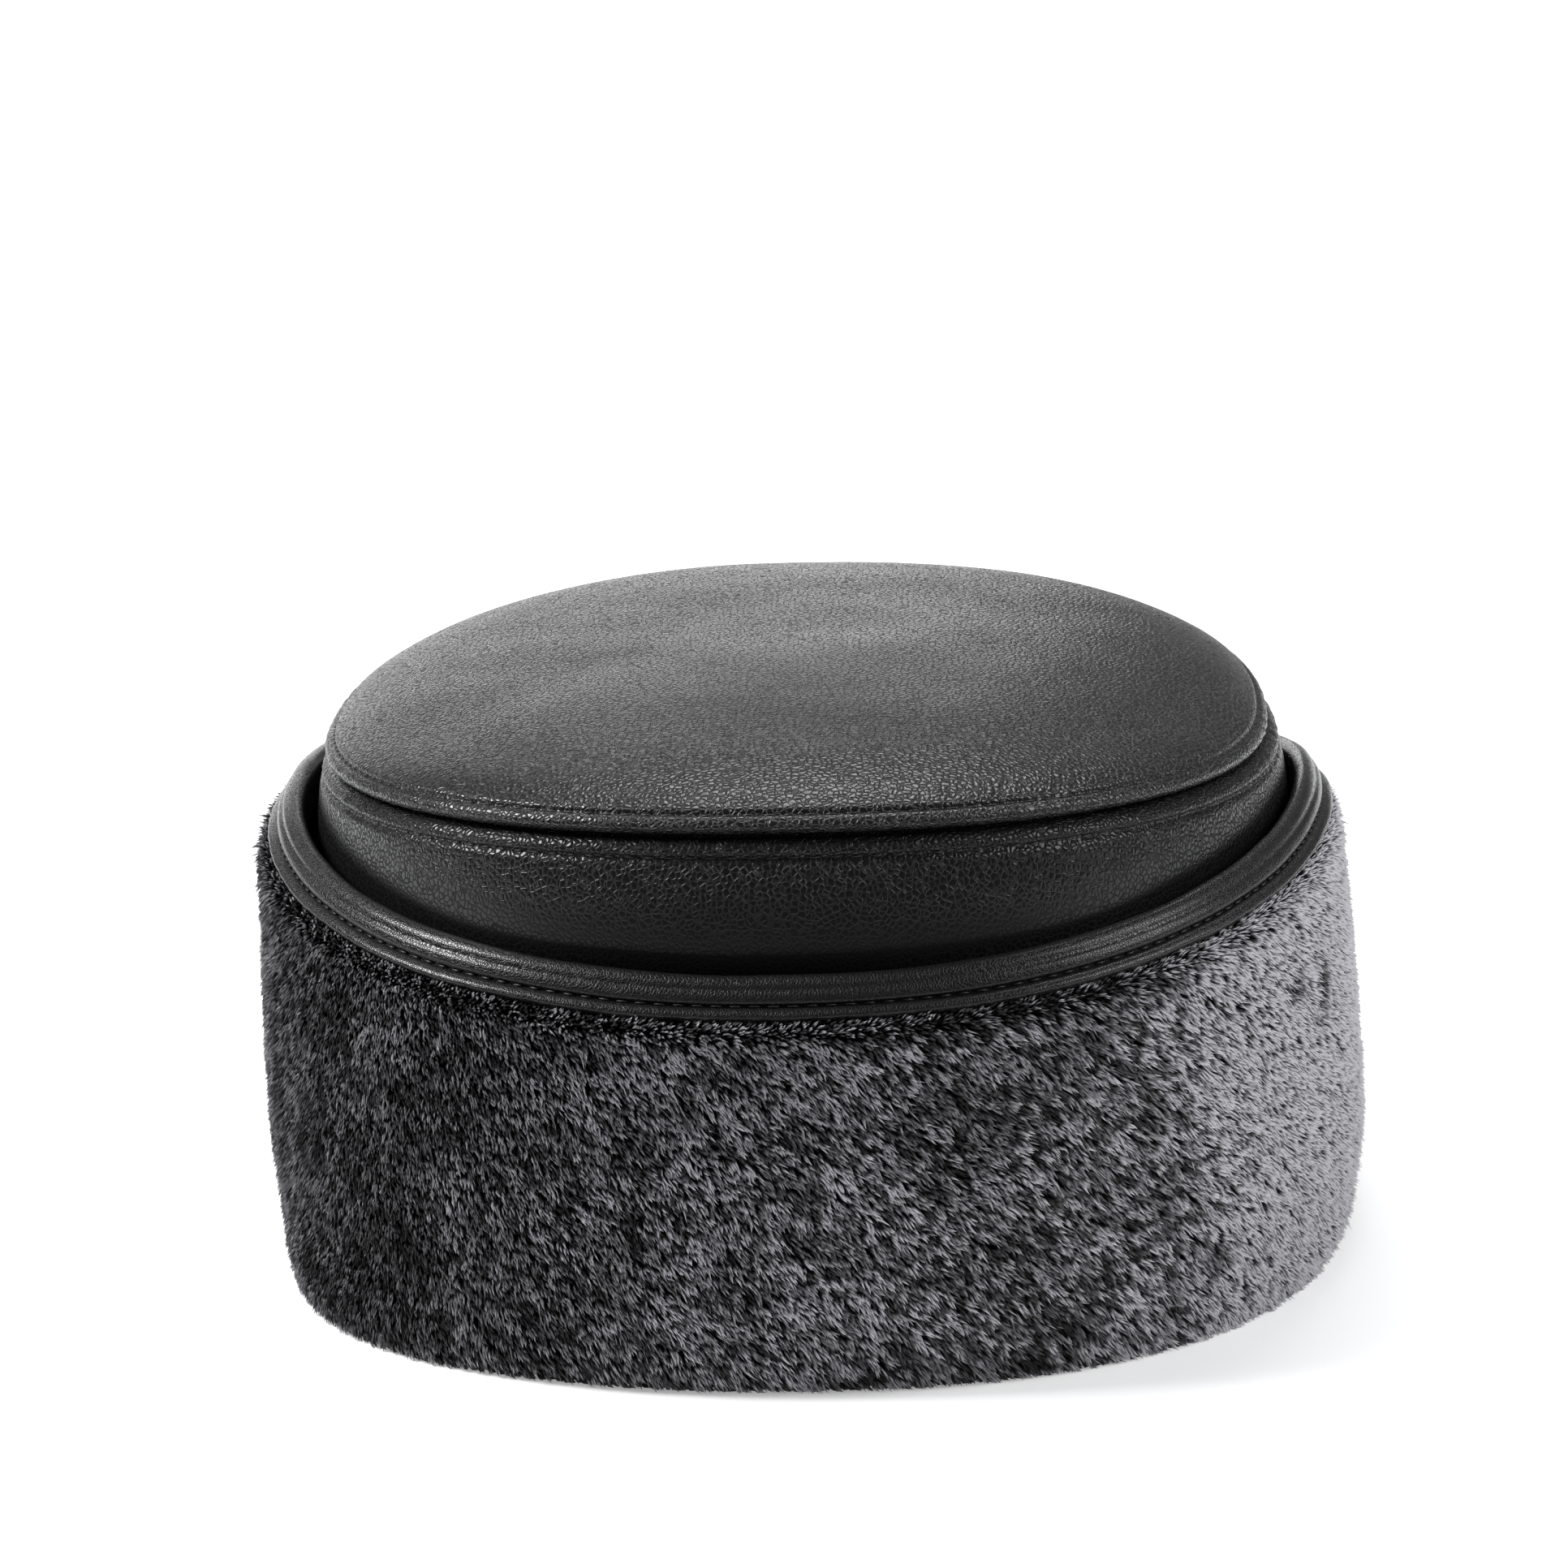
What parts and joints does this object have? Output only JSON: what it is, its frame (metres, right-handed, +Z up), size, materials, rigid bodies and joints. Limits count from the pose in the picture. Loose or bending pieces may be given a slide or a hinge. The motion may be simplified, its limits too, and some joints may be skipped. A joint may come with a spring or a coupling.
{
  "type": "leather hat with turned-up fur cuff",
  "caption": "Soft brimless oval leather hat with a puffed flat crown and a thick fur cuff turned up all round, edged with a rolled leather binding.",
  "frame": {"origin": "centre of the hat's box, on the surface that it stands on", "axes": "+Z up through the crown, -Y towards the front of the hat, +X towards the wearer's left ear"},
  "size_m": [0.2154, 0.2478, 0.109],
  "materials": {
    "crown_leather": "semi-gloss pebble grain",
    "trim_leather": "semi-gloss fine grain",
    "grey_fur": "matt pile"
  },
  "bodies": {
    "root": {"crown_tip": "crown_leather", "crown_band": "crown_leather", "cuff_facing": "trim_leather", "cuff_binding": "trim_leather", "fur_cuff": "grey_fur"}
  },
  "joints": []
}
